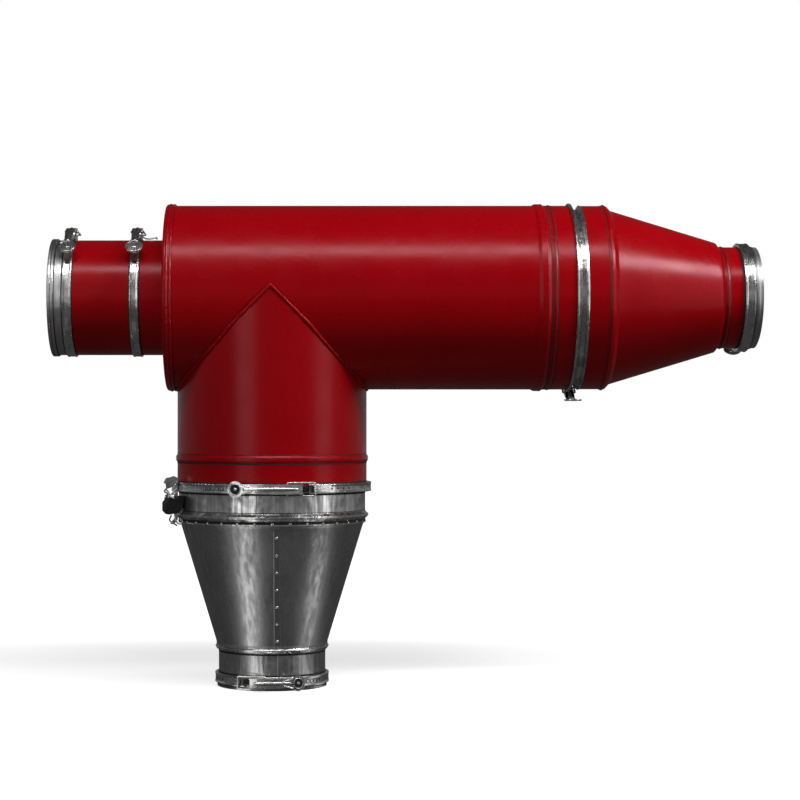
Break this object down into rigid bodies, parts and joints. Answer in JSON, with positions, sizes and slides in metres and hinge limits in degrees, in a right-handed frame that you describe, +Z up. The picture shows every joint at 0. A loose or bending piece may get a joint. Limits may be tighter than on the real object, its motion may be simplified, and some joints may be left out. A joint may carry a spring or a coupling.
{
  "type": "inline cyclone dust separator",
  "caption": "Horizontal cyclone separator barrel with an inlet cone, a mitred drop-out leg and hopper, and lever clamp bands at its duct joints.",
  "frame": {"origin": "centre of the dust outlet's lower face", "axes": "+Z up along the drop-out leg, +X along the barrel towards the inlet cone, -Y the front"},
  "size_m": [1.527, 0.4558, 1.0482],
  "materials": {
    "red_paint": "crimson powder coat, satin gloss",
    "bright_zinc": "bright galvanised sheet",
    "dull_zinc": "grey galvanised sheet with drawn streaks",
    "clamp_steel": "zinc plated clamp steel",
    "black_grip": "black moulded rubber"
  },
  "bodies": {
    "root": {"barrel_clamp_band": "clamp_steel", "barrel_clamp_bracket": "clamp_steel", "barrel_collar": "red_paint", "barrel_shell": "red_paint", "cone_collar": "red_paint", "drop_leg": "red_paint", "dust_outlet_clamp_band": "clamp_steel", "dust_outlet_clamp_bracket": "clamp_steel", "dust_outlet_collar": "bright_zinc", "dust_outlet_flange": "bright_zinc", "end_plate": "red_paint", "end_plate_rim": "red_paint", "hopper_collar": "bright_zinc", "hopper_cone": "dull_zinc", "inlet_clamp_band": "clamp_steel", "inlet_clamp_bracket": "clamp_steel", "inlet_collar": "red_paint", "inlet_cone": "red_paint", "inlet_nipple": "bright_zinc", "leg_clamp_band": "clamp_steel", "leg_clamp_bracket": "clamp_steel", "leg_seam_weld": "red_paint", "outlet_duct": "red_paint", "outlet_duct_clamp_band": "clamp_steel", "outlet_duct_clamp_bracket": "clamp_steel", "outlet_end_clamp_band": "clamp_steel", "outlet_end_clamp_bracket": "clamp_steel", "outlet_nipple": "bright_zinc", "outlet_stub": "red_paint", "side_catch_grip": "black_grip", "side_catch_strap": "clamp_steel"},
    "outlet_end_clamp_lever": {"outlet_end_clamp_lever": "clamp_steel"},
    "outlet_end_clamp_bail": {"outlet_end_clamp_bail": "clamp_steel"},
    "outlet_duct_clamp_lever": {"outlet_duct_clamp_lever": "clamp_steel"},
    "outlet_duct_clamp_bail": {"outlet_duct_clamp_bail": "clamp_steel"},
    "barrel_clamp_lever": {"barrel_clamp_lever": "clamp_steel"},
    "barrel_clamp_bail": {"barrel_clamp_bail": "clamp_steel"},
    "inlet_clamp_lever": {"inlet_clamp_lever": "clamp_steel"},
    "inlet_clamp_bail": {"inlet_clamp_bail": "clamp_steel"},
    "leg_clamp_lever": {"leg_clamp_lever": "clamp_steel"},
    "leg_clamp_bail": {"leg_clamp_bail": "clamp_steel"},
    "dust_outlet_clamp_lever": {"dust_outlet_clamp_lever": "clamp_steel"},
    "dust_outlet_clamp_bail": {"dust_outlet_clamp_bail": "clamp_steel"}
  },
  "joints": [
    {"name": "outlet_end_clamp_lever_hinge", "type": "hinge", "parent": "root", "child": "outlet_end_clamp_lever", "pos_m": [-0.435, 0.00304, 0.98748], "axis": [-1, 0, 0], "range_deg": [0, 80]},
    {"name": "outlet_end_clamp_bail_hinge", "type": "hinge", "parent": "outlet_end_clamp_lever", "child": "outlet_end_clamp_bail", "pos_m": [-0.435, -0.02606, 0.98513], "axis": [-1, 0, 0], "range_deg": [-52, 0]},
    {"name": "outlet_duct_clamp_lever_hinge", "type": "hinge", "parent": "root", "child": "outlet_duct_clamp_lever", "pos_m": [-0.292, 0.00304, 0.98748], "axis": [-1, 0, 0], "range_deg": [0, 80]},
    {"name": "outlet_duct_clamp_bail_hinge", "type": "hinge", "parent": "outlet_duct_clamp_lever", "child": "outlet_duct_clamp_bail", "pos_m": [-0.292, -0.02606, 0.98513], "axis": [-1, 0, 0], "range_deg": [-52, 0]},
    {"name": "barrel_clamp_lever_hinge", "type": "hinge", "parent": "root", "child": "barrel_clamp_lever", "pos_m": [0.656, 0.09311, 0.64753], "axis": [1, 0, 0], "range_deg": [0, 80]},
    {"name": "barrel_clamp_bail_hinge", "type": "hinge", "parent": "barrel_clamp_lever", "child": "barrel_clamp_bail", "pos_m": [0.656, 0.06607, 0.63683], "axis": [1, 0, 0], "range_deg": [-52, 0]},
    {"name": "inlet_clamp_lever_hinge", "type": "hinge", "parent": "root", "child": "inlet_clamp_lever", "pos_m": [1.021, 0.134, 0.841], "axis": [1, 0, 0], "range_deg": [0, 80]},
    {"name": "inlet_clamp_bail_hinge", "type": "hinge", "parent": "inlet_clamp_lever", "child": "inlet_clamp_bail", "pos_m": [1.021, 0.13037, 0.812], "axis": [1, 0, 0], "range_deg": [-52, 0]},
    {"name": "leg_clamp_lever_hinge", "type": "hinge", "parent": "root", "child": "leg_clamp_lever", "pos_m": [0.06359, -0.22313, 0.433], "axis": [0, 0, 1], "range_deg": [0, 80]},
    {"name": "leg_clamp_bail_hinge", "type": "hinge", "parent": "leg_clamp_lever", "child": "leg_clamp_bail", "pos_m": [0.03518, -0.22932, 0.433], "axis": [0, 0, 1], "range_deg": [-52, 0]},
    {"name": "dust_outlet_clamp_lever_hinge", "type": "hinge", "parent": "root", "child": "dust_outlet_clamp_lever", "pos_m": [-0.04074, -0.13343, 0.019], "axis": [0, 0, -1], "range_deg": [0, 80]},
    {"name": "dust_outlet_clamp_bail_hinge", "type": "hinge", "parent": "dust_outlet_clamp_lever", "child": "dust_outlet_clamp_bail", "pos_m": [-0.01206, -0.13898, 0.019], "axis": [0, 0, -1], "range_deg": [-52, 0]}
  ],
  "couplings": [
    {"joint": "outlet_end_clamp_bail_hinge", "follows": "outlet_end_clamp_lever_hinge", "ratio": -0.65},
    {"joint": "outlet_duct_clamp_bail_hinge", "follows": "outlet_duct_clamp_lever_hinge", "ratio": -0.65},
    {"joint": "barrel_clamp_bail_hinge", "follows": "barrel_clamp_lever_hinge", "ratio": -0.65},
    {"joint": "inlet_clamp_bail_hinge", "follows": "inlet_clamp_lever_hinge", "ratio": -0.65},
    {"joint": "leg_clamp_bail_hinge", "follows": "leg_clamp_lever_hinge", "ratio": -0.65},
    {"joint": "dust_outlet_clamp_bail_hinge", "follows": "dust_outlet_clamp_lever_hinge", "ratio": -0.65}
  ]
}
